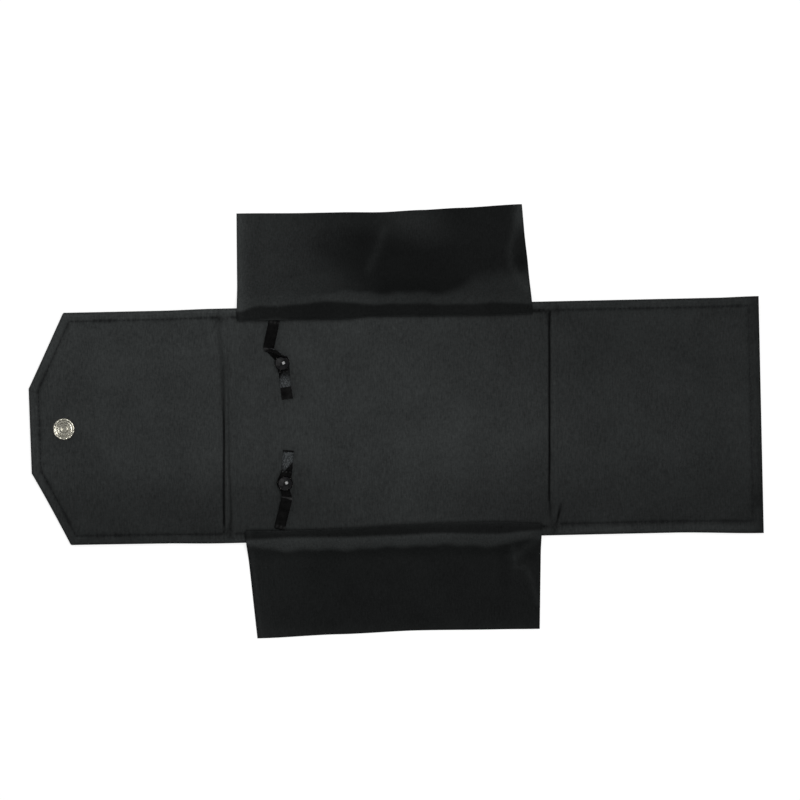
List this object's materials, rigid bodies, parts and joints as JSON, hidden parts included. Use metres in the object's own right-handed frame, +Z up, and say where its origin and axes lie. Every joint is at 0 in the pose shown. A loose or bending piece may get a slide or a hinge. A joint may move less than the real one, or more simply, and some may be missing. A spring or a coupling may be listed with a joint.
{
  "type": "necklace folder",
  "caption": "Satin-lined travel folder with stiff panels, soft side flaps, a press snap and pearl-snap ribbon straps that hold a necklace, lying open.",
  "frame": {"origin": "middle of the open folder's bounding box, on the surface that it lies on", "axes": "+Z up out of the lining, +X along the row of panels towards the front panel, +Y towards the upper side flap"},
  "size_m": [0.467, 0.2716, 0.0121],
  "materials": {
    "cover_cloth": "matt woven",
    "lining_satin": "satin",
    "flap_satin": "satin",
    "grey_board": "matt",
    "nickel_plate": "polished",
    "velvet_ribbon": "velvet",
    "black_pearl": "gloss"
  },
  "bodies": {
    "back_panel": {"centre_cover": "cover_cloth", "centre_board": "grey_board", "centre_lining": "lining_satin"},
    "left_spine": {"left_spine_cover": "cover_cloth", "left_spine_lining": "lining_satin"},
    "closing_flap": {"closing_cover": "cover_cloth", "closing_board": "grey_board", "closing_lining": "lining_satin", "snap_cap": "nickel_plate", "snap_socket": "nickel_plate"},
    "right_spine": {"right_spine_cover": "cover_cloth", "right_spine_lining": "lining_satin"},
    "front_panel": {"front_cover": "cover_cloth", "front_board": "grey_board", "front_lining": "lining_satin", "snap_stud": "nickel_plate", "stud_eyelet": "nickel_plate"},
    "upper_side_flap": {"upper_flap_face": "flap_satin", "upper_flap_backing": "flap_satin"},
    "lower_side_flap": {"lower_flap_face": "flap_satin", "lower_flap_backing": "flap_satin"},
    "upper_tab": {"upper_strap_tab": "velvet_ribbon", "upper_strap_rivet": "nickel_plate", "upper_strap_stud": "nickel_plate"},
    "upper_band": {"upper_strap_band": "velvet_ribbon", "upper_strap_socket": "nickel_plate", "upper_pearl_bezel": "nickel_plate", "upper_pearl_cap": "black_pearl"},
    "lower_tab": {"lower_strap_tab": "velvet_ribbon", "lower_strap_rivet": "nickel_plate", "lower_strap_stud": "nickel_plate"},
    "lower_band": {"lower_strap_band": "velvet_ribbon", "lower_strap_socket": "nickel_plate", "lower_pearl_bezel": "nickel_plate", "lower_pearl_cap": "black_pearl"}
  },
  "joints": [
    {"name": "left_spine_fold", "type": "hinge", "parent": "back_panel", "child": "left_spine", "pos_m": [-0.1048, 0, 0.00785], "axis": [0, 1, 0], "range_deg": [0, 90]},
    {"name": "closing_flap_fold", "type": "hinge", "parent": "left_spine", "child": "closing_flap", "pos_m": [-0.1138, 0, 0.00785], "axis": [0, 1, 0], "range_deg": [0, 90]},
    {"name": "right_spine_fold", "type": "hinge", "parent": "back_panel", "child": "right_spine", "pos_m": [0.0954, 0, 0.0058], "axis": [0, -1, 0], "range_deg": [0, 90]},
    {"name": "front_panel_fold", "type": "hinge", "parent": "right_spine", "child": "front_panel", "pos_m": [0.1034, 0, 0.0058], "axis": [0, -1, 0], "range_deg": [0, 90]},
    {"name": "upper_flap_fold", "type": "hinge", "parent": "back_panel", "child": "upper_side_flap", "pos_m": [0, 0.069, 0.0071], "axis": [1, 0, 0], "range_deg": [0, 180]},
    {"name": "lower_flap_fold", "type": "hinge", "parent": "back_panel", "child": "lower_side_flap", "pos_m": [0, -0.069, 0.0071], "axis": [-1, 0, 0], "range_deg": [0, 180]},
    {"name": "upper_strap_lift", "type": "hinge", "parent": "back_panel", "child": "upper_tab", "pos_m": [-0.0781, 0.0672, 0.00605], "axis": [1, 0, 0], "range_deg": [-60, 0]},
    {"name": "upper_band_open", "type": "hinge", "parent": "upper_tab", "child": "upper_band", "pos_m": [-0.0781, 0.0672, 0.00605], "axis": [1, 0, 0], "range_deg": [-90, 0]},
    {"name": "lower_strap_lift", "type": "hinge", "parent": "back_panel", "child": "lower_tab", "pos_m": [-0.0772, -0.0672, 0.00605], "axis": [-1, 0, 0], "range_deg": [-60, 0]},
    {"name": "lower_band_open", "type": "hinge", "parent": "lower_tab", "child": "lower_band", "pos_m": [-0.0772, -0.0672, 0.00605], "axis": [-1, 0, 0], "range_deg": [-90, 0]}
  ],
  "couplings": [
    {"joint": "left_spine_fold", "follows": "closing_flap_fold", "ratio": 1},
    {"joint": "right_spine_fold", "follows": "front_panel_fold", "ratio": 1}
  ]
}
